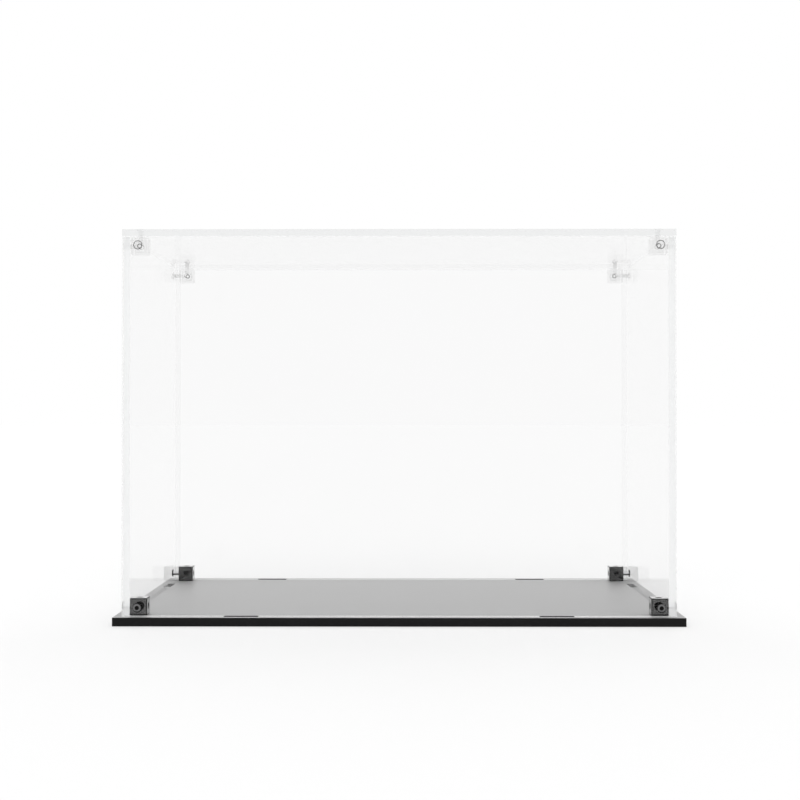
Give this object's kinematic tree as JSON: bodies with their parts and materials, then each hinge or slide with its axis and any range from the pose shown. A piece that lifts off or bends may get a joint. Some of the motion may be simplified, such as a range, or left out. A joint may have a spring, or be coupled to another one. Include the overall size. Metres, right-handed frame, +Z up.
{
  "type": "acrylic display case",
  "caption": "Clear rectangular dust cover of flat sheets joined by tapped corner cubes and socket screws, lifting off a black slotted base plate.",
  "frame": {"origin": "centre of the base plate's underside", "axes": "+Z up, front of the case towards -Y, +X to the right seen from the front"},
  "size_m": [0.33, 0.205, 0.2304],
  "materials": {
    "black_sheet": "satin",
    "clear_sheet": "polished, clear",
    "black_cube": "polished",
    "clear_cube": "polished, clear",
    "black_screw": "black, smooth",
    "clear_screw": "clear, smooth"
  },
  "bodies": {
    "base": {"base_plate": "black_sheet"},
    "cover": {"front_panel": "clear_sheet", "back_panel": "clear_sheet", "left_panel": "clear_sheet", "right_panel": "clear_sheet", "top_panel": "clear_sheet", "lower_front_left_cube": "black_cube", "lower_front_right_cube": "black_cube", "lower_back_left_cube": "black_cube", "lower_back_right_cube": "black_cube", "upper_front_left_cube": "clear_cube", "upper_front_right_cube": "clear_cube", "upper_back_left_cube": "clear_cube", "upper_back_right_cube": "clear_cube", "lower_front_left_face_screw": "black_screw", "lower_front_left_side_screw": "black_screw", "lower_front_right_face_screw": "black_screw", "lower_front_right_side_screw": "black_screw", "lower_back_left_face_screw": "black_screw", "lower_back_left_side_screw": "black_screw", "lower_back_right_face_screw": "black_screw", "lower_back_right_side_screw": "black_screw", "upper_front_left_face_screw": "clear_screw", "upper_front_left_side_screw": "clear_screw", "upper_front_left_top_screw": "clear_screw", "upper_front_right_face_screw": "clear_screw", "upper_front_right_side_screw": "clear_screw", "upper_front_right_top_screw": "clear_screw", "upper_back_left_face_screw": "clear_screw", "upper_back_left_side_screw": "clear_screw", "upper_back_left_top_screw": "clear_screw", "upper_back_right_face_screw": "clear_screw", "upper_back_right_side_screw": "clear_screw", "upper_back_right_top_screw": "clear_screw"}
  },
  "joints": [
    {"name": "cover_lift", "type": "slide", "parent": "base", "child": "cover", "axis": [0, 0, 1], "range_m": [0, 0.24]}
  ]
}
